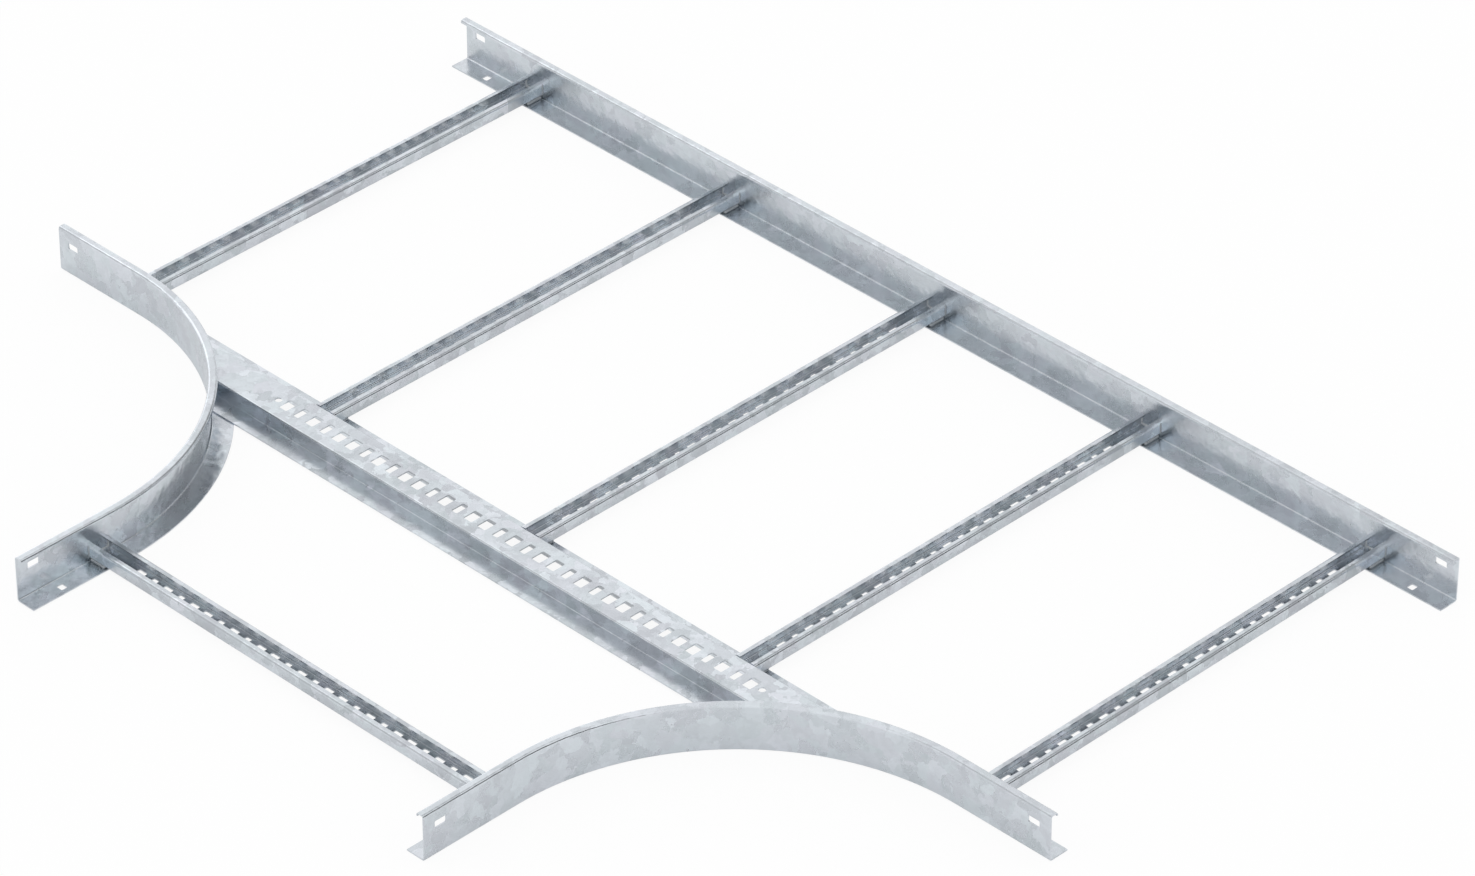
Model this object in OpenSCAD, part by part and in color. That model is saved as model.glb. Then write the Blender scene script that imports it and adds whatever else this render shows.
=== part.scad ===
// Cable ladder tee of galvanised sheet: a straight back rail, two quarter-round
// corner rails, C-section rungs and a hat-section centre beam across the branch.
// The run lies along X, the branch leaves towards -Y, and the flanges lie on Z = 0.

/* [Ladder] */
// Width of the run and of the branch, over the outer faces of the rail webs
ladder_w = 600; // [400:10:800]
// Radius of the corner rails, at the hollow face of the web
corner_r = 300; // [240:10:400]
// Straight leg at each end of a corner rail
leg_l = 125; // [100:5:200]

/* [Sheet] */
// Thickness of every sheet
sheet_t = 1.5; // [1:0.1:2]
// Inside radius of the bends in the rails and rungs
bend_r = 1.5; // [1:0.1:2]

/* [Rail section] */
// Height of the side rails
rail_h = 55; // [48:1:80]
// Width of the bottom flange, from the outer face of the web
rail_flange_w = 25; // [22:0.5:32]
// Width of the top lip, from the outer face of the web
rail_lip_w = 10; // [8:0.5:14]
// Straight length of the lip's turned-down edge, below its bend
rail_lip_edge = 1; // [0.5:0.25:4]

/* [Rail end holes] */
// Length of the slot in the web
web_slot_l = 15; // [12:0.5:20]
// Height of the slot in the web
web_slot_w = 8; // [6:0.5:10]
// Distance of the slot's centre from the rail's end
web_slot_inset = 22; // [16:0.5:30]
// Height of the slot's centre above the floor
web_slot_z = 37; // [25:0.5:42]
// Length of the flange hole along the rail
flange_hole_l = 8; // [6:0.5:10]
// Length of the flange hole across the rail
flange_hole_w = 9; // [6:0.5:10]
// Distance of the flange hole's centre from the rail's end
flange_hole_inset = 46; // [36:0.5:60]
// Distance of the flange hole's centre from the outer face of the web
flange_hole_offset = 15; // [11:0.5:17]

/* [Rungs] */
// Width of a rung
rung_w = 28; // [26:0.5:40]
// Height of a rung
rung_h = 15; // [12:0.5:20]
// Width of a rung's inward lips
rung_lip_w = 6.5; // [5:0.25:8]
// Clear height between a rail's flange and the rung
rung_lift = 4.5; // [3:0.25:8]
// Gap along a leg between the start of the corner's arc and the rung
rung_arc_gap = 3; // [1:0.5:30]

/* [Centre beam] */
// Width of the beam's raised top
beam_w = 46; // [40:1:60]
// Width of each bottom flange, from the outer face of the wall
beam_flange_w = 22; // [18:0.5:30]
// Distance of the beam's centre line beyond the front of the run
beam_offset = 20; // [16:0.5:24]
// Distance of the beam's square ends from the start of the corner arcs
beam_end_gap = 60; // [50:5:80]
// Inside radius of the beam's bends
beam_bend_r = 0.5; // [0.5:0.1:2]

/* [Perforation] */
// Distance between neighbouring slots
slot_pitch = 20; // [17:0.5:24]
// Length of the rungs' slots, across the rung
rung_slot_l = 18; // [14:0.5:20]
// Length of the beam's slots, across the beam
beam_slot_l = 17; // [14:0.5:20]
// Width of the wide slots
wide_slot_w = 12; // [9:0.5:14]
// Width of the narrow slots
narrow_slot_w = 8; // [5:0.5:9]
// Corner radius of every punched slot
slot_corner_r = 1.5; // [0.5:0.25:2]
// Diameter of the round hole at each end of a row
end_hole_d = 8; // [6:0.5:9]
// Distance of the round hole from the last slot
end_hole_pitch = 15; // [13:0.5:18]
// Least plain length between a row of slots and the end of its flat
row_margin = 45; // [40:1:60]

/* [Hidden] */
$fn = 48;
rail_colour = [0.79, 0.80, 0.83];
rung_colour = [0.70, 0.72, 0.75];
beam_colour = [0.76, 0.78, 0.81];
// Slots of one group, wide and narrow by turns
group = [wide_slot_w, narrow_slot_w, wide_slot_w, narrow_slot_w, wide_slot_w];
group_l = len(group) * slot_pitch;
// How far a punch runs past the sheet on each side
past = 1;
// Outside radii of the bends
bend_out = bend_r + sheet_t;
beam_bend_out = beam_bend_r + sheet_t;
// Centres of the corner arcs, and half the length of the run
arc_x = ladder_w / 2 + corner_r;
half_run = arc_x + leg_l;
// Y of the back face, of the run's front and of the corner arcs' centres
back_y = (ladder_w + corner_r + leg_l) / 2;
front_y = back_y - ladder_w;
arc_y = front_y - corner_r;
// Heights of the rungs' underside, of the beam's underside and of their common top
rung_z = sheet_t + rung_lift;
beam_z = sheet_t;
deck_z = rung_z + rung_h;
beam_h = deck_z - beam_z;
// Centre line of the beam, and where its walls meet the corner rails
beam_y = front_y - beam_offset;
beam_half_l = arc_x - beam_end_gap;
beam_cut_r = corner_r + bend_out;
beam_near_y = beam_y - beam_w / 2 - arc_y;
beam_clear_half_l = arc_x - sqrt(pow(beam_cut_r, 2) - pow(beam_near_y, 2));
// Centre lines of the rungs
outer_rung_x = arc_x + rung_arc_gap + rung_w / 2;
branch_rung_y = arc_y - rung_arc_gap - rung_w / 2;
run_rung_xs = [for (step = [-1 : 0.5 : 1]) step * outer_rung_x];
// Ends of the rungs on the webs of the rails and on the wall of the beam
rung_back_y = back_y - sheet_t;
rung_front_y = front_y + sheet_t;
rung_beam_y = beam_y + beam_w / 2;
branch_half_l = ladder_w / 2 - sheet_t;
// Groups of slots that fit in a rung and in the beam
rung_groups = floor((ladder_w - 2 * row_margin) / group_l);
beam_groups = floor((2 * beam_clear_half_l - 2 * row_margin) / group_l);

// Quarter bend of the sheet that turns left from +X, with the given inside radius
module quarter_bend(inside) {
    outside = inside + sheet_t;
    translate([0, outside])
        intersection() {
            difference() {
                circle(outside);
                circle(inside);
            }
            translate([0, -outside]) square(outside);
        }
}

// A sheet seen on its edge: flats along +X, each turned left (1) or right (-1) into the next
module folded_sheet(flats, turns, inside, at = 0) {
    square([flats[at], sheet_t]);
    if (at < len(turns)) {
        left = turns[at] > 0;
        step = left ? inside + sheet_t : inside;
        translate([flats[at], 0]) {
            translate([0, left ? 0 : sheet_t]) mirror([0, left ? 0 : 1]) quarter_bend(inside);
            translate([step, turns[at] * step])
                rotate(turns[at] * 90) folded_sheet(flats, turns, inside, at + 1);
        }
    }
}

// Side rail: web on the Y axis, with the flange, the lip and its edge to +X
module rail_section() {
    flats = [
        rail_flange_w - bend_out,
        rail_h - 2 * bend_out,
        rail_lip_w - 2 * bend_out,
        rail_lip_edge,
    ];
    translate([rail_flange_w, 0]) mirror([1, 0]) folded_sheet(flats, [1, 1, 1], bend_r);
}

// Rung: a C open at the top, centred on X
module rung_section() {
    lip = rung_lip_w - bend_out;
    wall = rung_h - 2 * bend_out;
    floor_w = rung_w - 2 * bend_out;
    translate([rung_lip_w - rung_w / 2, rung_h])
        rotate(180) folded_sheet([lip, wall, floor_w, wall, lip], [1, 1, 1, 1], bend_r);
}

// Centre beam: a hat with a flat top, centred on X
module beam_section() {
    flange = beam_flange_w - beam_bend_r;
    wall = beam_h - 2 * beam_bend_out;
    top_w = beam_w - 2 * beam_bend_out;
    translate([-beam_w / 2 - beam_flange_w, 0])
        folded_sheet([flange, wall, top_w, wall, flange], [1, -1, -1, 1], beam_bend_r);
}

// Punch for a slot with rounded corners: l along X, w along Y
module slot_outline(l, w) {
    square([l - 2 * slot_corner_r, w], center = true);
    square([l, w - 2 * slot_corner_r], center = true);
    for (x = [-1, 1], y = [-1, 1])
        translate([x * (l / 2 - slot_corner_r), y * (w / 2 - slot_corner_r)]) circle(slot_corner_r);
}

// A row of slot groups along Y with a round hole at each end, as a punch through the sheet
module slot_row(groups, slot_l) {
    last = len(group) * groups - 1;
    end_y = last / 2 * slot_pitch + end_hole_pitch;
    translate([0, 0, -past])
        linear_extrude(sheet_t + 2 * past) {
            for (i = [0 : last])
                translate([0, (i - last / 2) * slot_pitch])
                    slot_outline(slot_l, group[i % len(group)]);
            for (y = [-end_y, end_y])
                translate([0, y]) circle(d = end_hole_d);
        }
}

// Slot and hole at the end of a rail that starts at X = 0, with its web on Y = 0
module rail_end_punch() {
    translate([web_slot_inset, sheet_t + past, web_slot_z])
        rotate([90, 0, 0])
            linear_extrude(sheet_t + 2 * past) slot_outline(web_slot_l, web_slot_w);
    translate([flange_hole_inset, flange_hole_offset, -past])
        linear_extrude(sheet_t + 2 * past) slot_outline(flange_hole_l, flange_hole_w);
}

// Straight rail along +X, with its web on Y = 0 and its flange to +Y
module straight_rail(l) {
    rotate([90, 0, 90]) linear_extrude(l) rail_section();
}

// Corner rail about its arc centre: one leg runs to +X, the other to -Y
module corner_rail() {
    difference() {
        union() {
            rotate(90) rotate_extrude(angle = 90) translate([corner_r, 0]) rail_section();
            translate([0, corner_r, 0]) straight_rail(leg_l);
            rotate(90) translate([-leg_l, corner_r, 0]) straight_rail(leg_l);
        }
        translate([leg_l, corner_r, 0]) mirror([1, 0, 0]) rail_end_punch();
        rotate(90) translate([-leg_l, corner_r, 0]) rail_end_punch();
    }
}

module back_rail() {
    color(rail_colour)
        translate([0, back_y, 0]) mirror([0, 1, 0])
            difference() {
                translate([-half_run, 0, 0]) straight_rail(2 * half_run);
                for (side = [0, 1])
                    mirror([side, 0, 0]) translate([-half_run, 0, 0]) rail_end_punch();
            }
}

module right_corner_rail() {
    color(rail_colour) translate([arc_x, arc_y, 0]) corner_rail();
}

module left_corner_rail() {
    color(rail_colour) mirror([1, 0, 0]) translate([arc_x, arc_y, 0]) corner_rail();
}

// The beam lies on the corner rails' flanges and is hollowed to clear their webs
module centre_beam() {
    color(beam_colour)
        difference() {
            translate([-beam_half_l, beam_y, beam_z])
                rotate([90, 0, 90]) linear_extrude(2 * beam_half_l) beam_section();
            translate([0, beam_y, deck_z - sheet_t]) rotate(90) slot_row(beam_groups, beam_slot_l);
            for (side = [-1, 1])
                translate([side * arc_x, arc_y, beam_z - past])
                    cylinder(r = beam_cut_r, h = beam_h + 2 * past, $fn = 180);
        }
}

// Rung along Y from one end to the other, with its row of slots about a given centre
module rung(from_y, to_y, row_y) {
    color(rung_colour)
        difference() {
            translate([0, to_y, rung_z])
                rotate([90, 0, 0]) linear_extrude(to_y - from_y) rung_section();
            translate([0, row_y, rung_z]) slot_row(rung_groups, rung_slot_l);
        }
}

// Run rung, counted from 1 at -X: the outer two end on the corner rails, the rest on the beam
module run_rung(number) {
    outer = number == 1 || number == len(run_rung_xs);
    translate([run_rung_xs[number - 1], 0, 0])
        rung(outer ? rung_front_y : rung_beam_y, rung_back_y, back_y - ladder_w / 2);
}

module branch_rung() {
    translate([0, branch_rung_y, 0]) rotate(90) rung(-branch_half_l, branch_half_l, 0);
}

back_rail();
left_corner_rail();
right_corner_rail();
centre_beam();
run_rung(1);  // run_rung_1
run_rung(2);  // run_rung_2
run_rung(3);  // run_rung_3
run_rung(4);  // run_rung_4
run_rung(5);  // run_rung_5
branch_rung();
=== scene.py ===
"""Dress a galvanised cable ladder tee: zinc finishes, weld beads, rivets and a white studio."""

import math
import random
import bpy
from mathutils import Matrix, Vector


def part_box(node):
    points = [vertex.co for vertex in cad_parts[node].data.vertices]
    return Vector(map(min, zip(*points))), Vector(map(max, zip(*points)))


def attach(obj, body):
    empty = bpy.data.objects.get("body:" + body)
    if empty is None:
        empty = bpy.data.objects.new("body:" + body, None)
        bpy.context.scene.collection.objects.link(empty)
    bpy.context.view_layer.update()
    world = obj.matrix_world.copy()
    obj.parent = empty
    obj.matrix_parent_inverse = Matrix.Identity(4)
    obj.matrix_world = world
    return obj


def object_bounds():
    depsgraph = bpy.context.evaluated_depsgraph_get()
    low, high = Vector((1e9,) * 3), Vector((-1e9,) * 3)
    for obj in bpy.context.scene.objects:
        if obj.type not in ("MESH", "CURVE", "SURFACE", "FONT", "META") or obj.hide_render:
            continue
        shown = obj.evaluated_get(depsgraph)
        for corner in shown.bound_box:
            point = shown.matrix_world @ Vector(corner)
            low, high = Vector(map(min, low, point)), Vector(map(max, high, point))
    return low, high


bl_info = {
    "name": "Cable Ladder Tee",
    "version": (1, 0, 0),
    "blender": (4, 5, 0),
    "location": "3D View > Sidebar > Ladder Tee",
    "description": "Gives a cable ladder tee its galvanised finish, welds, rivets and studio",
    "category": "Object",
}

import bmesh
import bpy
from bpy.props import FloatProperty, FloatVectorProperty, IntProperty, PointerProperty
from mathutils import Vector

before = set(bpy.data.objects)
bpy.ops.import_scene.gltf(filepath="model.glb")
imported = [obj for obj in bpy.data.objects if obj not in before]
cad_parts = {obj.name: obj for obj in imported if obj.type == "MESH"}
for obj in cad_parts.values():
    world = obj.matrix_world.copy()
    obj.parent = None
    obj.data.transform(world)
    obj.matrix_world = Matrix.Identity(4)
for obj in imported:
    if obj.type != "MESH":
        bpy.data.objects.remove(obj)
CAD_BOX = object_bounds()

RAILS = ("back_rail", "left_corner_rail", "right_corner_rail")
BEAM = "centre_beam"
BEAM_RUNGS = ("run_rung_2", "run_rung_3", "run_rung_4")
RUNGS = ("run_rung_1",) + BEAM_RUNGS + ("run_rung_5", "branch_rung")

# The point that the lamps and cards face, and the way up
ORIGIN = Vector((0.0, 0.0, 0.0))
UP = Vector((0.0, 0.0, 1.0))
# The white of the floor, the surroundings and the rims of the cards
WHITE = (1.0, 1.0, 1.0, 1.0)
# How far the floor lies below the flanges, so that no two faces coincide
FLOOR_DROP = 0.0005

# Widths in spangle patches: the noise that bends the patches' edges, how far it pushes them,
# the soft clouds, and the blots on welds and rivets
EDGE_NOISE = 0.8
EDGE_PUSH = 1.5
CLOUD_WIDTH = 3.0
BLOT_WIDTH = 0.1
# Octaves of the noise in clouds and in the grain, and the weight of each finer octave
CLOUD_DETAIL = 3.0
GRAIN_DETAIL = 1.0
FINE_WEIGHT = 0.6
# Middle of a pattern that runs from 0 to 1
MIDDLE = 0.5

# Turns, in degrees, of the points along a quarter bend
QUARTER_TURNS = range(0, 91, 15)
# A bead's middle line stands this share of its radius off the faces that it joins
BEAD_STANDOFF = 0.35
# Points along a bead for each of its ripples
RIPPLE_POINTS = 4
# Random unevenness of a bead's radius
BEAD_UNEVEN = 0.06
# Share of its radius that a bead has at its tips, and what it gains at each point further in
TIP_SHARE = 0.45
TIP_GROWTH = 0.2
# Seeds of the unevenness of the inner and of the outer welds
WELD_SEED = 7
SEAM_SEED = 11

# Width of a rivet's neck as a share of its head, and the angle from which its edges are sharp
NECK_SHARE = 0.6
SHARP_ANGLE = math.radians(50.0)


class ZincFinish(bpy.types.PropertyGroup):
    """Colours and scales of the galvanised sheet, the welds and the rivets."""

    dark_zinc: FloatVectorProperty(
        name="Dark zinc", description="Colour of the darkest spangle patches",
        subtype="COLOR", size=4, min=0.0, max=1.0, default=(0.535, 0.568, 0.597, 1.0))
    light_zinc: FloatVectorProperty(
        name="Light zinc", description="Colour of the lightest spangle patches",
        subtype="COLOR", size=4, min=0.0, max=1.0, default=(0.775, 0.820, 0.861, 1.0))
    blue_tint: FloatVectorProperty(
        name="Blue tint", description="Cool tint that some spangle patches take",
        subtype="COLOR", size=4, min=0.0, max=1.0, default=(0.98, 1.0, 1.0, 1.0))
    violet_tint: FloatVectorProperty(
        name="Violet tint", description="Violet tint that other spangle patches take",
        subtype="COLOR", size=4, min=0.0, max=1.0, default=(1.0, 0.98, 1.0, 1.0))
    patch_size: FloatProperty(
        name="Patch size", description="Width of a large spangle patch",
        unit="LENGTH", default=0.017, min=0.005, max=0.1)
    fleck_size: FloatProperty(
        name="Fleck size", description="Width of a small spangle fleck",
        unit="LENGTH", default=0.007, min=0.002, max=0.05)
    patch_share: FloatProperty(
        name="Patch share", description="Part of the spangle that comes from the large patches",
        subtype="FACTOR", default=0.6, min=0.0, max=1.0)
    fleck_share: FloatProperty(
        name="Fleck share", description="Part of the spangle that comes from the small flecks",
        subtype="FACTOR", default=0.22, min=0.0, max=1.0)
    cloud_share: FloatProperty(
        name="Cloud share", description="Part of the spangle that comes from soft clouds",
        subtype="FACTOR", default=0.4, min=0.0, max=1.0)
    rail_contrast: FloatProperty(
        name="Rail contrast", description="Strength of the spangle on the rails",
        subtype="FACTOR", default=0.8, min=0.0, max=2.0)
    beam_contrast: FloatProperty(
        name="Beam contrast", description="Strength of the spangle on the beam",
        subtype="FACTOR", default=1.3, min=0.0, max=2.0)
    rung_contrast: FloatProperty(
        name="Rung contrast", description="Strength of the spangle on the rungs",
        subtype="FACTOR", default=1.2, min=0.0, max=2.0)
    rail_tone: FloatProperty(
        name="Rail tone", description="Mean tone of the rails between dark and light zinc",
        subtype="FACTOR", default=0.55, min=0.0, max=1.0)
    beam_tone: FloatProperty(
        name="Beam tone", description="Mean tone of the beam between dark and light zinc",
        subtype="FACTOR", default=0.5, min=0.0, max=1.0)
    rung_tone: FloatProperty(
        name="Rung tone", description="Mean tone of the rungs between dark and light zinc",
        subtype="FACTOR", default=0.36, min=0.0, max=1.0)
    rail_roughness: FloatProperty(
        name="Rail roughness", description="Mean roughness of the zinc on the rails",
        subtype="FACTOR", default=0.26, min=0.0, max=1.0)
    beam_roughness: FloatProperty(
        name="Beam roughness", description="Mean roughness of the zinc on the beam",
        subtype="FACTOR", default=0.23, min=0.0, max=1.0)
    rung_roughness: FloatProperty(
        name="Rung roughness", description="Mean roughness of the zinc on the rungs",
        subtype="FACTOR", default=0.25, min=0.0, max=1.0)
    sheen_change: FloatProperty(
        name="Sheen change", description="How much rougher the darkest patches are than the lightest",
        subtype="FACTOR", default=0.12, min=0.0, max=0.5)
    grain_size: FloatProperty(
        name="Grain size", description="Width of the uneven grain in the zinc skin",
        unit="LENGTH", default=0.014, min=0.0002, max=0.05)
    rail_grain: FloatProperty(
        name="Rail grain", description="Depth of the uneven grain on the rails",
        unit="LENGTH", default=0.0007, min=0.0, max=0.002)
    beam_grain: FloatProperty(
        name="Beam grain", description="Depth of the uneven grain on the beam",
        unit="LENGTH", default=0.0003, min=0.0, max=0.002)
    rung_grain: FloatProperty(
        name="Rung grain", description="Depth of the uneven grain on the rungs",
        unit="LENGTH", default=0.0003, min=0.0, max=0.002)
    # Partly painted highlight: this near-white zinc stands in for the light line at the inner corner of
    # each rung's end and the glint on each rivet head.
    zinc_and_highlight_colour: FloatVectorProperty(
        name="Bright colour", description="Colour of fresh zinc on rivets and inner welds",
        subtype="COLOR", size=4, min=0.0, max=1.0, default=(0.93, 0.94, 0.95, 1.0))
    bright_metal: FloatProperty(
        name="Bright metal", description="How metallic the fresh zinc is through its matt bloom",
        subtype="FACTOR", default=0.1, min=0.0, max=1.0)
    bright_roughness: FloatProperty(
        name="Bright roughness", description="Least roughness of the fresh zinc",
        subtype="FACTOR", default=0.2, min=0.0, max=1.0)
    # Partly painted shade: this dull weld grey stands in for the shade in the gap where a rung meets
    # the web and in the slit under its foot.
    seam_and_gap_shade_colour: FloatVectorProperty(
        name="Seam colour", description="Colour of the dull welds round the rungs' ends",
        subtype="COLOR", size=4, min=0.0, max=1.0, default=(0.33, 0.35, 0.37, 1.0))
    seam_metal: FloatProperty(
        name="Seam metal", description="How metallic the dull welds are",
        subtype="FACTOR", default=0.6, min=0.0, max=1.0)
    seam_roughness: FloatProperty(
        name="Seam roughness", description="Least roughness of the dull welds",
        subtype="FACTOR", default=0.45, min=0.0, max=1.0)
    blot_roughness: FloatProperty(
        name="Blot roughness", description="How much rougher the lightest blots of a weld or rivet are",
        subtype="FACTOR", default=0.2, min=0.0, max=0.5)


class WeldSizes(bpy.types.PropertyGroup):
    """Sizes of the weld beads at the rungs' ends, and of the sheet that they join."""

    sheet: FloatProperty(
        name="Sheet", description="Thickness of the sheet of rungs, rails and beam",
        unit="LENGTH", default=0.0015, min=0.0005, max=0.005)
    bend: FloatProperty(
        name="Bend", description="Inside radius of the rungs' bends",
        unit="LENGTH", default=0.0015, min=0.0005, max=0.005)
    inner_radius: FloatProperty(
        name="Inner bead", description="Radius of the bead inside a rung's end",
        unit="LENGTH", default=0.0011, min=0.0003, max=0.004)
    outer_radius: FloatProperty(
        name="Outer bead", description="Radius of the bead round the outside of a rung's end",
        unit="LENGTH", default=0.0008, min=0.0003, max=0.004)
    foot_length: FloatProperty(
        name="Foot weld", description="Length of the welds between a rung's foot and the flange below",
        unit="LENGTH", default=0.0215, min=0.005, max=0.05)
    foot_setback: FloatProperty(
        name="Foot setback", description="Distance of a foot weld from the outer face of the wall",
        unit="LENGTH", default=0.003, min=0.0, max=0.01)
    ripple_pitch: FloatProperty(
        name="Ripple pitch", description="Distance from one ripple of a bead to the next",
        unit="LENGTH", default=0.0016, min=0.0004, max=0.01)
    ripple_depth: FloatProperty(
        name="Ripple depth", description="Height of the ripples as a share of a bead's radius",
        subtype="FACTOR", default=0.14, min=0.0, max=0.5)
    sides: IntProperty(
        name="Sides", description="Faces around a bead", default=10, min=6, max=24)


class RivetSizes(bpy.types.PropertyGroup):
    """Sizes of the rivets that pin the rungs to the flanges below them."""

    head_d: FloatProperty(
        name="Head", description="Diameter of a rivet's domed head",
        unit="LENGTH", default=0.0062, min=0.002, max=0.02)
    head_h: FloatProperty(
        name="Head height", description="Height of a rivet's domed head",
        unit="LENGTH", default=0.0017, min=0.0003, max=0.005)
    sleeve_d: FloatProperty(
        name="Sleeve", description="Diameter of the sleeve between the rung and the flange",
        unit="LENGTH", default=0.0075, min=0.002, max=0.02)
    end_offset: FloatProperty(
        name="Offset", description="Distance of a rivet from the rung's end",
        unit="LENGTH", default=0.0135, min=0.004, max=0.05)
    sides: IntProperty(
        name="Sides", description="Faces around a rivet", default=28, min=8, max=64)


class StudioSetup(bpy.types.PropertyGroup):
    """The camera, the floor, the surroundings, the lamps and the cards that the metal mirrors."""

    azimuth: FloatProperty(
        name="Azimuth", description="Turn of the camera from the front towards the right",
        subtype="ANGLE", default=math.radians(45.0))
    elevation: FloatProperty(
        name="Elevation", description="Height angle of the camera",
        subtype="ANGLE", default=math.radians(35.018))
    distance: FloatProperty(
        name="Distance", description="Distance of the camera from its target",
        unit="LENGTH", default=7.8925)
    target: FloatVectorProperty(
        name="Target", description="Point that the camera looks at",
        subtype="XYZ", unit="LENGTH", default=(0.0106, 0.20235, 0.0))
    lens: FloatProperty(
        name="Lens", description="Focal length of the camera in millimetres",
        unit="CAMERA", default=185.56, min=10.0, max=400.0)

    floor_size: FloatProperty(
        name="Floor", description="Side of the pale floor", unit="LENGTH", default=16.0)
    floor_colour: FloatVectorProperty(
        name="Floor colour", description="Colour of the floor where light and shadow fall on it",
        subtype="COLOR", size=4, min=0.0, max=1.0, default=(0.92, 0.92, 0.92, 1.0))
    floor_glow: FloatProperty(
        name="Floor glow", description="Share of the floor's white that no shadow darkens",
        subtype="FACTOR", default=0.92, min=0.0, max=1.0)
    mirror_glow: FloatProperty(
        name="Mirror glow", description="The same share where the floor shows in the metal",
        subtype="FACTOR", default=0.2, min=0.0, max=1.0)
    world_fill: FloatProperty(
        name="Fill", description="Strength of the white surroundings on matt surfaces",
        default=1.0, min=0.0, max=2.0)

    box_azimuth: FloatProperty(
        name="Soft box azimuth", description="Turn of the soft box from the front towards the right",
        subtype="ANGLE", default=math.radians(-86.0))
    box_elevation: FloatProperty(
        name="Soft box elevation", description="Height angle of the soft box",
        subtype="ANGLE", default=math.radians(28.0))
    box_distance: FloatProperty(
        name="Soft box distance", description="Distance of the soft box from the object",
        unit="LENGTH", default=5.0)
    box_size: FloatVectorProperty(
        name="Soft box size", description="Width and height of the soft box",
        size=2, unit="LENGTH", default=(2.7, 4.6))
    box_power: FloatProperty(
        name="Soft box power", description="Power of the soft box in watts",
        unit="POWER", default=20.0, min=0.0)

    strip_azimuth: FloatProperty(
        name="Strip azimuth", description="Turn of the strip lamp from the front towards the right",
        subtype="ANGLE", default=math.radians(-116.0))
    strip_elevation: FloatProperty(
        name="Strip elevation", description="Height angle of the strip lamp",
        subtype="ANGLE", default=math.radians(11.0))
    strip_distance: FloatProperty(
        name="Strip distance", description="Distance of the strip lamp from the object",
        unit="LENGTH", default=6.0)
    strip_size: FloatVectorProperty(
        name="Strip size", description="Width and height of the strip lamp",
        size=2, unit="LENGTH", default=(3.0, 1.9))
    strip_power: FloatProperty(
        name="Strip power", description="Power of the strip lamp in watts",
        unit="POWER", default=9.0, min=0.0)

    card_azimuth: FloatProperty(
        name="Card azimuth", description="Turn of the dark card from the front towards the right",
        subtype="ANGLE", default=math.radians(178.0))
    card_elevation: FloatProperty(
        name="Card elevation", description="Height angle of the dark card",
        subtype="ANGLE", default=math.radians(35.0))
    card_distance: FloatProperty(
        name="Card distance", description="Distance of the dark card from the object",
        unit="LENGTH", default=8.0)
    card_size: FloatVectorProperty(
        name="Card size", description="Width and height of the dark card",
        size=2, unit="LENGTH", default=(8.5, 11.2))
    card_glow: FloatProperty(
        name="Card glow", description="Brightness of the dark card",
        subtype="FACTOR", default=0.34, min=0.0, max=1.0)
    card_core: FloatProperty(
        name="Card core", description="Share of the dark card inside its soft rim",
        subtype="FACTOR", default=0.6, min=0.0, max=0.99)

    low_azimuth: FloatProperty(
        name="Low card azimuth", description="Turn of the low card from the front towards the right",
        subtype="ANGLE", default=math.radians(112.0))
    low_elevation: FloatProperty(
        name="Low card elevation", description="Height angle of the low card",
        subtype="ANGLE", default=math.radians(16.0))
    low_distance: FloatProperty(
        name="Low card distance", description="Distance of the low card from the object",
        unit="LENGTH", default=8.0)
    low_size: FloatVectorProperty(
        name="Low card size", description="Width and height of the low card",
        size=2, unit="LENGTH", default=(12.3, 4.5))
    low_glow: FloatProperty(
        name="Low card glow", description="Brightness of the low card",
        subtype="FACTOR", default=0.0, min=0.0, max=1.0)
    low_core: FloatProperty(
        name="Low card core", description="Share of the low card inside its soft rim",
        subtype="FACTOR", default=0.85, min=0.0, max=0.99)

    wall_azimuth: FloatProperty(
        name="Grey wall azimuth", description="Turn of the grey wall from the front towards the right",
        subtype="ANGLE", default=math.radians(-45.0))
    wall_elevation: FloatProperty(
        name="Grey wall elevation", description="Height angle of the grey wall",
        subtype="ANGLE", default=math.radians(35.0))
    wall_distance: FloatProperty(
        name="Grey wall distance", description="Distance of the grey wall from the object",
        unit="LENGTH", default=8.0)
    wall_size: FloatVectorProperty(
        name="Grey wall size", description="Width and height of the grey wall",
        size=2, unit="LENGTH", default=(6.9, 9.0))
    wall_glow: FloatProperty(
        name="Grey wall glow", description="Brightness of the grey wall",
        subtype="FACTOR", default=0.66, min=0.0, max=1.0)
    wall_core: FloatProperty(
        name="Grey wall core", description="Share of the grey wall inside its soft rim",
        subtype="FACTOR", default=0.7, min=0.0, max=0.99)

    bounce_size: FloatVectorProperty(
        name="Bounce card size", description="Length and width of the card under the beam",
        size=2, unit="LENGTH", default=(0.78, 0.042))
    bounce_glow: FloatProperty(
        name="Bounce card glow", description="Brightness of the card under the beam",
        subtype="FACTOR", default=0.56, min=0.0, max=1.0)
    bounce_core: FloatProperty(
        name="Bounce card core", description="Share of the card under the beam inside its soft rim",
        subtype="FACTOR", default=0.9, min=0.0, max=0.99)


class Wire:
    """A shader socket that takes part in Python sums: each operator adds a Math node."""

    def __init__(self, sheet, socket):
        self.sheet = sheet
        self.socket = socket

    def _math(self, operation, first, second):
        return self.sheet.add("ShaderNodeMath", {"operation": operation}, {0: first, 1: second})

    def __add__(self, other):
        return self._math("ADD", self, other)

    def __radd__(self, other):
        return self._math("ADD", other, self)

    def __sub__(self, other):
        return self._math("SUBTRACT", self, other)

    def __rsub__(self, other):
        return self._math("SUBTRACT", other, self)

    def __mul__(self, other):
        return self._math("MULTIPLY", self, other)

    def __rmul__(self, other):
        return self._math("MULTIPLY", other, self)

    def other_output(self, name):
        """Another output of the node that this wire leaves."""
        return Wire(self.sheet, self.socket.node.outputs[name])


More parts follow.
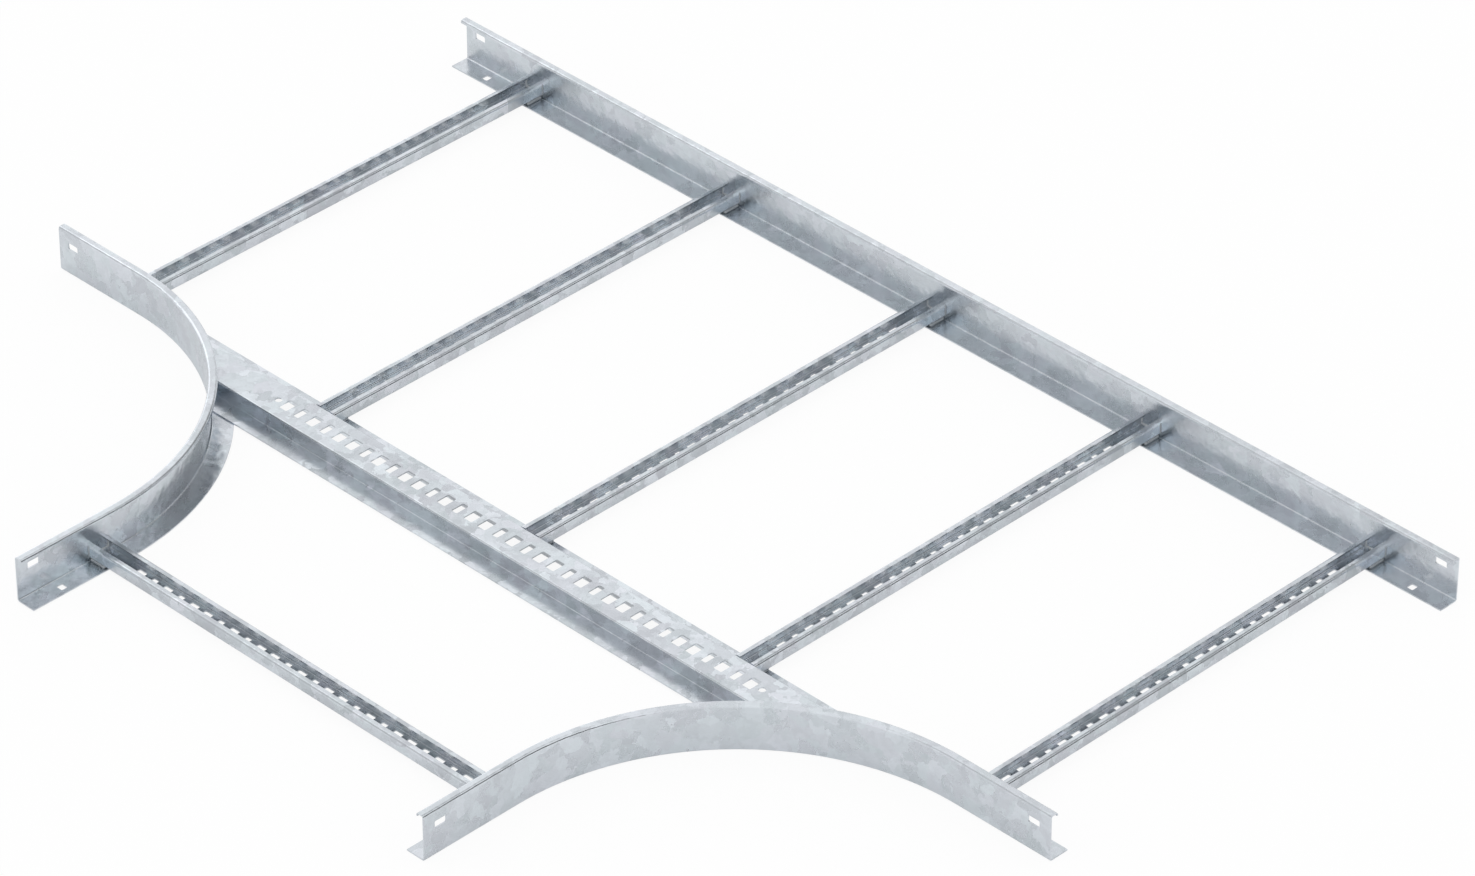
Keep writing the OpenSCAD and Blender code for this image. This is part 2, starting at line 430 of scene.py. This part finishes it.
class NodeSheet:
    """The node tree of one finish, floor, card or world."""

    def __init__(self, tree):
        self.tree = tree
        tree.nodes.clear()

    def add(self, kind, settings=None, inputs=None, output=0):
        """Add a node, apply its settings, fill its sockets and return one of its outputs."""
        node = self.tree.nodes.new(kind)
        for name, value in (settings or {}).items():
            setattr(node, name, value)
        for key, value in (inputs or {}).items():
            if isinstance(value, Wire):
                self.tree.links.new(value.socket, node.inputs[key])
            else:
                node.inputs[key].default_value = value
        return Wire(self, node.outputs[output]) if node.outputs else None

    def mix_colour(self, factor, first, second, blend="MIX"):
        """Mix two colours; a Mix node has them at inputs 6 and 7 and their mix at output 2."""
        settings = {"data_type": "RGBA", "blend_type": blend, "clamp_factor": True}
        return self.add("ShaderNodeMix", settings, {0: factor, 6: first, 7: second}, output=2)

    def vector(self, operation, *values):
        """A Vector Math node on up to three vectors."""
        return self.add("ShaderNodeVectorMath", {"operation": operation}, dict(enumerate(values)))

    def clamp(self, value):
        """Keep a value between 0 and 1."""
        return self.add("ShaderNodeClamp", {}, {"Value": value})


def new_material(name):
    """An empty node material and its sheet."""
    material = bpy.data.materials.new(name)
    material.use_nodes = True
    return material, NodeSheet(material.node_tree)


def spangle_cells(sheet, place, width):
    """A random value for each crystal patch of about the given width; output Green has another."""
    cells = sheet.add(
        "ShaderNodeTexVoronoi", {"feature": "F1", "voronoi_dimensions": "3D"},
        {"Vector": place, "Scale": 1.0 / width, "Randomness": 1.0}, output="Color")
    return sheet.add("ShaderNodeSeparateColor", {}, {"Color": cells}, output="Red")


def cloud(sheet, place, width, detail=CLOUD_DETAIL):
    """Soft noise whose blots are about as wide as given."""
    return sheet.add(
        "ShaderNodeTexNoise", {"noise_dimensions": "3D"},
        {"Vector": place, "Scale": 1.0 / width, "Detail": detail, "Roughness": FINE_WEIGHT})


def warped_place(sheet, place, width, reach):
    """The place pushed about by noise, so that patches get wandering edges."""
    push = cloud(sheet, place, width).other_output("Color")
    centred = sheet.vector("SUBTRACT", push, (MIDDLE, MIDDLE, MIDDLE))
    return sheet.vector("MULTIPLY_ADD", centred, (reach, reach, reach), place)


def zinc_material(name, zinc, mean_tone, contrast, mean_roughness, grain_depth):
    """Satin galvanised steel with cloudy spangle patches."""
    material, sheet = new_material(name)
    place = sheet.add("ShaderNodeTexCoord", output="Object")
    wandering = warped_place(
        sheet, place, EDGE_NOISE * zinc.patch_size, EDGE_PUSH * zinc.patch_size)
    patches = spangle_cells(sheet, wandering, zinc.patch_size)
    flecks = spangle_cells(sheet, wandering, zinc.fleck_size)
    clouds = cloud(sheet, place, CLOUD_WIDTH * zinc.patch_size)
    swing = (patches - MIDDLE) * zinc.patch_share + (flecks - MIDDLE) * zinc.fleck_share
    swing = swing + (clouds - MIDDLE) * zinc.cloud_share
    tone = sheet.clamp(swing * contrast + mean_tone)
    tints = sheet.mix_colour(
        patches.other_output("Green"), tuple(zinc.blue_tint), tuple(zinc.violet_tint))
    skin = sheet.mix_colour(tone, tuple(zinc.dark_zinc), tuple(zinc.light_zinc))
    colour = sheet.mix_colour(contrast, skin, tints, blend="MULTIPLY")
    grain = cloud(sheet, place, zinc.grain_size, detail=GRAIN_DETAIL)
    bump = sheet.add(
        "ShaderNodeBump", {}, {"Strength": 1.0, "Distance": grain_depth, "Height": grain})
    shader = sheet.add("ShaderNodeBsdfPrincipled", {}, {
        "Base Color": colour,
        "Metallic": 1.0,
        "Roughness": mean_roughness + (MIDDLE - tone) * zinc.sheen_change,
        "Normal": bump,
    })
    sheet.add("ShaderNodeOutputMaterial", {}, {"Surface": shader})
    return material


def blotched_material(name, zinc, dark, light, metal, roughness):
    """Zinc with fine blots between two colours, rougher where it is light."""
    material, sheet = new_material(name)
    place = sheet.add("ShaderNodeTexCoord", output="Object")
    blots = cloud(sheet, place, BLOT_WIDTH * zinc.patch_size)
    shader = sheet.add("ShaderNodeBsdfPrincipled", {}, {
        "Base Color": sheet.mix_colour(blots, tuple(dark), tuple(light)),
        "Metallic": metal,
        "Roughness": roughness + blots * zinc.blot_roughness,
    })
    sheet.add("ShaderNodeOutputMaterial", {}, {"Surface": shader})
    return material


def zinc_and_highlight_material(name, zinc):
    """Fresh zinc on inner welds and rivets: brighter than the sheet, with a matt bloom; its near-white
    colour is partly a painted highlight.
    """
    return blotched_material(
        name, zinc, zinc.light_zinc, zinc.zinc_and_highlight_colour, zinc.bright_metal, zinc.bright_roughness)


def seam_and_gap_shade_material(name, zinc):
    """Dull grey weld metal round the rungs' ends; its dark grey is partly painted shade for the gap at
    each end and the slit under each foot.
    """
    return blotched_material(
        name, zinc, zinc.seam_and_gap_shade_colour, zinc.dark_zinc, zinc.seam_metal, zinc.seam_roughness)


def coat(node, material):
    """Give a CAD node the material in place of its own."""
    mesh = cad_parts[node].data
    mesh.materials.clear()
    mesh.materials.append(material)


def add_piece(name, bm, material):
    """Turn a finished bmesh into a smooth piece that rides on the body."""
    bmesh.ops.recalc_face_normals(bm, faces=bm.faces)
    mesh = bpy.data.meshes.new(name)
    bm.to_mesh(mesh)
    bm.free()
    for face in mesh.polygons:
        face.use_smooth = True
    mesh.materials.append(material)
    piece = bpy.data.objects.new(name, mesh)
    bpy.context.scene.collection.objects.link(piece)
    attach(piece, "root")
    return piece


class RungEnd:
    """One end of a rung: where it is, which way it faces and how its section lies."""

    def __init__(self, node, at_high):
        low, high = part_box(node)
        size = high - low
        self.run = 0 if size.x > size.y else 1
        self.across = 1 - self.run
        self.low = low
        self.high = high
        self.place = high[self.run] if at_high else low[self.run]
        self.inward = -1.0 if at_high else 1.0
        self.middle = 0.5 * (low[self.across] + high[self.across])
        self.half_width = 0.5 * size[self.across]

    def point(self, inward, sideways, height):
        """A point given by its distance from the end, from the middle line and from the floor."""
        spot = Vector((0.0, 0.0, height))
        spot[self.run] = self.place + self.inward * inward
        spot[self.across] = self.middle + sideways
        return spot


def rung_ends(node):
    """Both ends of a rung, the low one first."""
    return [RungEnd(node, at_high) for at_high in (False, True)]


def seat_below(node, end, sheet):
    """Height of the flange that lies below a rung's end."""
    on_beam = node in BEAM_RUNGS and end.inward > 0
    return (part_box(BEAM)[0].z if on_beam else CAD_BOX[0].z) + sheet


def section_path(half_width, low, high, radius):
    """Points round a rung's section, from halfway round one top bend to halfway round the other."""
    corners = (
        (radius - half_width, high - radius, 90),
        (radius - half_width, low + radius, 180),
        (half_width - radius, low + radius, 270),
        (half_width - radius, high - radius, 0),
    )
    path = []
    for x, z, start in corners:
        turns = [math.radians(start + turn) for turn in QUARTER_TURNS]
        path += [(x + radius * math.cos(t), z + radius * math.sin(t)) for t in turns]
    half_bend = len(QUARTER_TURNS) // 2
    return path[half_bend:-half_bend]


def even_steps(points, step):
    """The same path with points about one step apart."""
    path = [Vector(points[0])]
    for first, second in zip(points, points[1:]):
        count = max(1, round((second - first).length / step))
        path += [first.lerp(second, i / count) for i in range(1, count + 1)]
    return path


def full_turn(sides):
    """Angles of points spread evenly round a circle."""
    return [math.tau * k / sides for k in range(sides)]


def skin_rings(bm, rings):
    """Join each ring of points to the next one."""
    sides = len(rings[0])
    for near, far in zip(rings, rings[1:]):
        for k in range(sides):
            n = (k + 1) % sides
            bm.faces.new((near[k], near[n], far[n], far[k]))


def sweep_bead(bm, path, radii, sides):
    """Skin a round bead along a path, closed at both ends."""
    rings = []
    last = len(path) - 1
    steady = None
    for i, (centre, radius) in enumerate(zip(path, radii)):
        along = (path[min(i + 1, last)] - path[max(i - 1, 0)]).normalized()
        if steady is None:
            steady = along.orthogonal().normalized()
        else:
            steady = (steady - along * steady.dot(along)).normalized()
        second = along.cross(steady)
        rings.append([
            bm.verts.new(centre + radius * (math.cos(t) * steady + math.sin(t) * second))
            for t in full_turn(sides)])
    skin_rings(bm, rings)
    bm.faces.new(rings[0])
    bm.faces.new(rings[-1])


def bead_radii(count, step, radius, weld, rng):
    """Radii along a bead: ripples, some unevenness and a taper at both ends."""
    phase = rng.uniform(0.0, math.tau)
    radii = []
    for i in range(count):
        ripple = math.sin(math.tau * i * step / weld.ripple_pitch + phase)
        uneven = rng.uniform(-BEAD_UNEVEN, BEAD_UNEVEN)
        taper = min(1.0, TIP_SHARE + TIP_GROWTH * min(i, count - 1 - i))
        radii.append(radius * taper * (1.0 + weld.ripple_depth * ripple + uneven))
    return radii


def lay_bead(bm, corners, radius, weld, rng):
    """Lay a rippled bead of the given radius along a path of corner points."""
    step = weld.ripple_pitch / RIPPLE_POINTS
    path = even_steps(corners, step)
    sweep_bead(bm, path, bead_radii(len(path), step, radius, weld, rng), weld.sides)


def lay_section_bead(bm, end, off, bend, radius, weld, rng):
    """Lay a bead round a rung's end, the given distance inside the outer face of its section."""
    inset = BEAD_STANDOFF * radius
    path = section_path(end.half_width - off, end.low.z + off, end.high.z - off, bend)
    lay_bead(bm, [end.point(inset, x, z) for x, z in path], radius, weld, rng)


def lay_foot_welds(bm, end, seat, weld, rng):
    """Lay a bead under both walls of a rung, from its end along the flange below."""
    height = 0.5 * (seat + end.low.z)
    radius = 0.5 * (end.low.z - seat)
    reach = (BEAD_STANDOFF * weld.outer_radius, weld.foot_length)
    for side in (-1.0, 1.0):
        sideways = side * (end.half_width - weld.foot_setback)
        foot = [end.point(inward, sideways, height) for inward in reach]
        lay_bead(bm, foot, radius, weld, rng)


def rivet_profile(rivet, sheet, underside, seat):
    """Radii and heights of a rivet, from the top of its head through the rung to the flange below."""
    head_r = 0.5 * rivet.head_d
    neck_r = NECK_SHARE * head_r
    sleeve_r = 0.5 * rivet.sleeve_d
    rung_floor = underside + sheet
    arc = [math.radians(turn) for turn in QUARTER_TURNS]
    dome = [(head_r * math.sin(a), rung_floor + rivet.head_h * math.cos(a)) for a in arc]
    neck = [(neck_r, rung_floor), (neck_r, underside)]
    sleeve = [(sleeve_r, underside), (sleeve_r, seat), (0.0, seat)]
    return dome + neck + sleeve


def spin_profile(bm, centre, profile, sides):
    """Turn a profile of (radius, height) pairs about a vertical axis; its ends are poles."""
    rings = []
    for radius, height in profile[1:-1]:
        rings.append([
            bm.verts.new((
                centre.x + radius * math.cos(t), centre.y + radius * math.sin(t), height))
            for t in full_turn(sides)])
    poles = [bm.verts.new((centre.x, centre.y, profile[i][1])) for i in (0, -1)]
    skin_rings(bm, rings)
    for pole, ring in zip(poles, (rings[0], rings[-1])):
        for k in range(sides):
            bm.faces.new((pole, ring[k], ring[(k + 1) % sides]))


def aim(thing, spot):
    """Turn a camera, lamp or card so that it faces a point."""
    thing.rotation_euler = (spot - thing.location).to_track_quat("-Z", "Y").to_euler()


def from_angles(azimuth, elevation):
    """Unit vector towards a camera, lamp or card at these angles."""
    flat = math.cos(elevation)
    return Vector((math.sin(azimuth) * flat, -math.cos(azimuth) * flat, math.sin(elevation)))


def make_camera(scene, studio):
    """The camera at the photograph's viewing angle."""
    data = bpy.data.cameras.new("camera")
    data.lens = studio.lens
    camera = bpy.data.objects.new("camera", data)
    scene.collection.objects.link(camera)
    target = Vector(studio.target)
    camera.location = target + studio.distance * from_angles(studio.azimuth, studio.elevation)
    aim(camera, target)
    scene.camera = camera


def by_sight(sheet, direct, mirrored, otherwise):
    """One value for rays from the camera, one for reflected or refracted rays, one for the rest."""
    camera_ray = sheet.add("ShaderNodeLightPath", output="Is Camera Ray")
    glossy_ray = camera_ray.other_output("Is Glossy Ray")
    through_ray = camera_ray.other_output("Is Transmission Ray")
    second_ray = sheet.clamp(glossy_ray + through_ray)
    return otherwise + camera_ray * (direct - otherwise) + second_ray * (mirrored - otherwise)


def make_world(scene, studio):
    """White surroundings: plain white where they are seen, a soft fill for matt surfaces."""
    world = bpy.data.worlds.new("white_surroundings")
    scene.world = world
    world.use_nodes = True
    sheet = NodeSheet(world.node_tree)
    strength = by_sight(sheet, 1.0, 1.0, studio.world_fill)
    glow = sheet.add("ShaderNodeBackground", {}, {"Color": WHITE, "Strength": strength})
    sheet.add("ShaderNodeOutputWorld", {}, {"Surface": glow})


def add_board(scene, name, size, material):
    """A flat rectangle of the given width and height about its own middle."""
    half_x = 0.5 * size[0]
    half_y = 0.5 * size[1]
    low_side = [(-half_x, -half_y, 0.0), (half_x, -half_y, 0.0)]
    high_side = [(half_x, half_y, 0.0), (-half_x, half_y, 0.0)]
    mesh = bpy.data.meshes.new(name)
    mesh.from_pydata(low_side + high_side, [], [(0, 1, 2, 3)])
    mesh.materials.append(material)
    board = bpy.data.objects.new(name, mesh)
    scene.collection.objects.link(board)
    return board


def make_floor(scene, studio):
    """A pale floor that stays white around the object and keeps its soft shadow."""
    material, sheet = new_material("pale_floor")
    matt = sheet.add("ShaderNodeBsdfDiffuse", {}, {"Color": tuple(studio.floor_colour)})
    white = sheet.add("ShaderNodeEmission", {}, {"Color": WHITE, "Strength": 1.0})
    share = by_sight(sheet, studio.floor_glow, studio.mirror_glow, 0.0)
    surface = sheet.add("ShaderNodeMixShader", {}, {0: share, 1: matt, 2: white})
    sheet.add("ShaderNodeOutputMaterial", {}, {"Surface": surface})
    floor = add_board(scene, "floor", (studio.floor_size, studio.floor_size), material)
    floor.location.z = -FLOOR_DROP


def make_lamp(scene, name, size, power, place):
    """A soft rectangular lamp that faces the object and lights only what mirrors it."""
    data = bpy.data.lights.new(name, "AREA")
    data.shape = "RECTANGLE"
    data.size = size[0]
    data.size_y = size[1]
    data.energy = power
    lamp = bpy.data.objects.new(name, data)
    scene.collection.objects.link(lamp)
    lamp.location = place
    aim(lamp, ORIGIN)
    lamp.visible_diffuse = False


def make_card(scene, name, size, glow, core, place, facing=ORIGIN):
    """A grey oval with a soft white rim that only the metal mirrors, for darker bends and faces."""
    material, sheet = new_material(name)
    on_card = sheet.add("ShaderNodeTexCoord", output="Object")
    spot = sheet.vector("DIVIDE", on_card, (0.5 * size[0], 0.5 * size[1], 1.0))
    nearness = sheet.add(
        "ShaderNodeTexGradient", {"gradient_type": "SPHERICAL"}, {"Vector": spot}, output="Fac")
    shade = sheet.clamp(nearness * (1.0 / (1.0 - core)))
    grey = sheet.mix_colour(shade, WHITE, (glow, glow, glow, 1.0))
    dim = sheet.add("ShaderNodeEmission", {}, {"Color": grey, "Strength": 1.0})
    sheet.add("ShaderNodeOutputMaterial", {}, {"Surface": dim})
    card = add_board(scene, name, size, material)
    card.location = place
    aim(card, facing)
    card.visible_camera = False
    card.visible_diffuse = False
    card.visible_shadow = False


class LADDERTEE_OT_finish_rails(bpy.types.Operator):
    """Give the back rail and the two corner rails their spangled zinc"""

    bl_idname = "laddertee.finish_rails"
    bl_label = "Finish Rails"

    def execute(self, context):
        zinc = context.scene.laddertee_zinc
        material = zinc_material(
            "rail_zinc", zinc, zinc.rail_tone, zinc.rail_contrast, zinc.rail_roughness,
            zinc.rail_grain)
        for node in RAILS:
            coat(node, material)
        return {"FINISHED"}


class LADDERTEE_OT_finish_beam(bpy.types.Operator):
    """Give the centre beam its zinc"""

    bl_idname = "laddertee.finish_beam"
    bl_label = "Finish Beam"

    def execute(self, context):
        zinc = context.scene.laddertee_zinc
        material = zinc_material(
            "beam_zinc", zinc, zinc.beam_tone, zinc.beam_contrast, zinc.beam_roughness,
            zinc.beam_grain)
        coat(BEAM, material)
        return {"FINISHED"}


class LADDERTEE_OT_finish_rungs(bpy.types.Operator):
    """Give the run rungs and the branch rung their zinc"""

    bl_idname = "laddertee.finish_rungs"
    bl_label = "Finish Rungs"

    def execute(self, context):
        zinc = context.scene.laddertee_zinc
        material = zinc_material(
            "rung_zinc", zinc, zinc.rung_tone, zinc.rung_contrast, zinc.rung_roughness,
            zinc.rung_grain)
        for node in RUNGS:
            coat(node, material)
        return {"FINISHED"}


class LADDERTEE_OT_weld_rungs(bpy.types.Operator):
    """Lay a bright bead round the inside of each rung's ends, its near-white partly a painted highlight
    """

    bl_idname = "laddertee.weld_rungs"
    bl_label = "Weld Rungs"

    def execute(self, context):
        weld = context.scene.laddertee_weld
        material = zinc_and_highlight_material("weld_zinc_and_highlight", context.scene.laddertee_zinc)
        rng = random.Random(WELD_SEED)
        off = weld.sheet + BEAD_STANDOFF * weld.inner_radius
        for node in RUNGS:
            bm = bmesh.new()
            for end in rung_ends(node):
                lay_section_bead(bm, end, off, weld.bend, weld.inner_radius, weld, rng)
            add_piece(f"weld_{node}", bm, material)
        return {"FINISHED"}


class LADDERTEE_OT_seam_rungs(bpy.types.Operator):
    """Lay dull welds round the outside of each rung's ends and along its feet on the flange; their dark
    grey partly paints the shade of the gaps there
    """

    bl_idname = "laddertee.seam_rungs"
    bl_label = "Seam Rungs"

    def execute(self, context):
        weld = context.scene.laddertee_weld
        material = seam_and_gap_shade_material("seam_zinc_and_gap_shade", context.scene.laddertee_zinc)
        rng = random.Random(SEAM_SEED)
        bend = weld.bend + weld.sheet
        for node in RUNGS:
            bm = bmesh.new()
            for end in rung_ends(node):
                lay_section_bead(bm, end, 0.0, bend, weld.outer_radius, weld, rng)
                lay_foot_welds(bm, end, seat_below(node, end, weld.sheet), weld, rng)
            add_piece(f"seam_{node}", bm, material)
        return {"FINISHED"}


class LADDERTEE_OT_rivet_rungs(bpy.types.Operator):
    """Pin each rung's ends to the flanges below with a domed rivet and its sleeve"""

    bl_idname = "laddertee.rivet_rungs"
    bl_label = "Rivet Rungs"

    def execute(self, context):
        rivet = context.scene.laddertee_rivet
        sheet = context.scene.laddertee_weld.sheet
        # The rivets' near-white zinc is partly a painted glint.
        material = zinc_and_highlight_material("rivet_zinc_and_highlight", context.scene.laddertee_zinc)
        for node in RUNGS:
            bm = bmesh.new()
            for end in rung_ends(node):
                profile = rivet_profile(rivet, sheet, end.low.z, seat_below(node, end, sheet))
                centre = end.point(rivet.end_offset, 0.0, 0.0)
                spin_profile(bm, centre, profile, rivet.sides)
            piece = add_piece(f"rivets_{node}", bm, material)
            edges = piece.modifiers.new("crisp_edges", "EDGE_SPLIT")
            edges.split_angle = SHARP_ANGLE
        return {"FINISHED"}


class LADDERTEE_OT_stage(bpy.types.Operator):
    """Set up the camera, the white surroundings, the pale floor, the lamps and the cards"""

    bl_idname = "laddertee.stage"
    bl_label = "Stage"

    def execute(self, context):
        scene = context.scene
        studio = scene.laddertee_studio
        make_camera(scene, studio)
        make_world(scene, studio)
        make_floor(scene, studio)
        make_lamp(
            scene, "soft_box", studio.box_size, studio.box_power,
            studio.box_distance * from_angles(studio.box_azimuth, studio.box_elevation))
        make_lamp(
            scene, "strip_lamp", studio.strip_size, studio.strip_power,
            studio.strip_distance * from_angles(studio.strip_azimuth, studio.strip_elevation))
        make_card(
            scene, "dark_card", studio.card_size, studio.card_glow, studio.card_core,
            studio.card_distance * from_angles(studio.card_azimuth, studio.card_elevation))
        make_card(
            scene, "low_card", studio.low_size, studio.low_glow, studio.low_core,
            studio.low_distance * from_angles(studio.low_azimuth, studio.low_elevation))
        make_card(
            scene, "grey_wall", studio.wall_size, studio.wall_glow, studio.wall_core,
            studio.wall_distance * from_angles(studio.wall_azimuth, studio.wall_elevation))
        low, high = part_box(BEAM)
        under_beam = 0.5 * (low + high)
        under_beam.z = CAD_BOX[0].z
        make_card(
            scene, "bounce_card", studio.bounce_size, studio.bounce_glow, studio.bounce_core,
            under_beam, facing=under_beam + UP)
        scene.view_settings.view_transform = "Standard"
        return {"FINISHED"}


class LADDERTEE_PT_sidebar(bpy.types.Panel):
    """The steps that dress the ladder tee"""

    bl_idname = "LADDERTEE_PT_sidebar"
    bl_label = "Ladder Tee"
    bl_space_type = "VIEW_3D"
    bl_region_type = "UI"
    bl_category = "Ladder Tee"

    def draw(self, context):
        column = self.layout.column()
        for step in STEPS:
            column.operator(step.bl_idname)


SETTINGS = {
    "laddertee_zinc": ZincFinish,
    "laddertee_weld": WeldSizes,
    "laddertee_rivet": RivetSizes,
    "laddertee_studio": StudioSetup,
}
STEPS = (
    LADDERTEE_OT_finish_rails,
    LADDERTEE_OT_finish_beam,
    LADDERTEE_OT_finish_rungs,
    LADDERTEE_OT_weld_rungs,
    LADDERTEE_OT_seam_rungs,
    LADDERTEE_OT_rivet_rungs,
    LADDERTEE_OT_stage,
)
CLASSES = tuple(SETTINGS.values()) + STEPS + (LADDERTEE_PT_sidebar,)


def register():
    """Add the classes and the scene's settings to Blender."""
    for cls in CLASSES:
        bpy.utils.register_class(cls)
    for name, group in SETTINGS.items():
        setattr(bpy.types.Scene, name, PointerProperty(type=group))


def unregister():
    """Take the settings and the classes out again."""
    for name in SETTINGS:
        delattr(bpy.types.Scene, name)
    for cls in reversed(CLASSES):
        bpy.utils.unregister_class(cls)


def main():
    """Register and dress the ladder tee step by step."""
    register()
    bpy.ops.laddertee.finish_rails()
    bpy.ops.laddertee.finish_beam()
    bpy.ops.laddertee.finish_rungs()
    bpy.ops.laddertee.weld_rungs()
    bpy.ops.laddertee.seam_rungs()
    bpy.ops.laddertee.rivet_rungs()
    bpy.ops.laddertee.stage()


if __name__ == "__main__":
    main()
